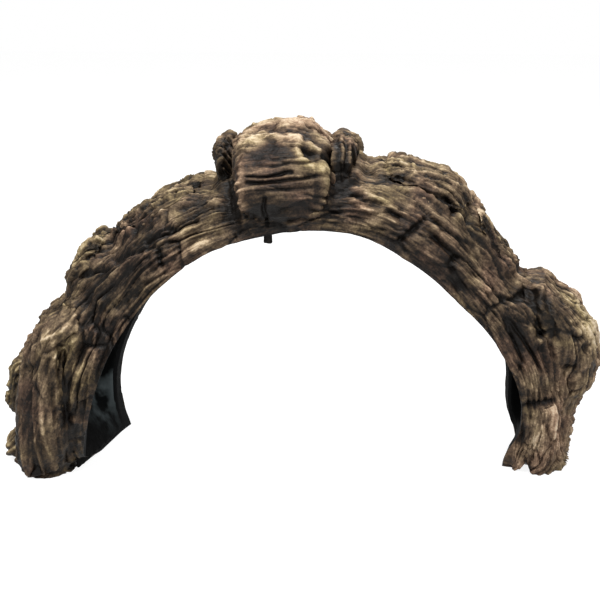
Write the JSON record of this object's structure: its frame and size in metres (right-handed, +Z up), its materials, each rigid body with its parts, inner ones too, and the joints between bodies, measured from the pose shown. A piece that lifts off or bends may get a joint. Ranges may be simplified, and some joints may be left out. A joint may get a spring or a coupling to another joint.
{
  "type": "aquarium cave ornament",
  "caption": "Bark-textured resin arch shaped like a hollow bent branch, open underneath and hollow inside, with a knot at the crown and a flared root on one leg.",
  "frame": {"origin": "the middle of the ornament's outline on the floor plane it stands on", "axes": "+X runs along the span from the narrow-rooted leg to the flared leg, +Y to the back, +Z up"},
  "size_m": [0.3018, 0.1055, 0.1775],
  "materials": {
    "bark_dark": "cast resin painted dark brown, dark wash in the crevices, dry-brushed tan on the ridges",
    "bark_tan": "cast resin painted brown with a heavier tan and olive dry-brush on the raised grain",
    "backing_black": "black resin backing, satin",
    "pin_grey": "drawn glass-fibre rod, dull"
  },
  "bodies": {
    "root": {"left_limb": "bark_dark", "crown_span": "bark_dark", "right_limb": "bark_dark", "inner_liner": "backing_black", "knot_stub": "bark_tan", "knot_collar_left": "bark_dark", "knot_collar_right": "bark_dark", "twig_nub": "bark_dark", "left_root_plate": "bark_dark", "left_heel_burl": "bark_tan", "left_toe_burl": "bark_tan", "left_rear_root": "bark_dark", "left_bark_lower": "bark_tan", "left_bark_upper": "bark_tan", "right_bark_upper": "bark_tan", "right_bark_lower": "bark_tan", "right_flare": "bark_dark", "right_foot_root": "bark_tan", "right_rear_root": "bark_dark", "seam_pins": "pin_grey", "knot_pins": "pin_grey", "flare_pins": "pin_grey"}
  },
  "joints": []
}
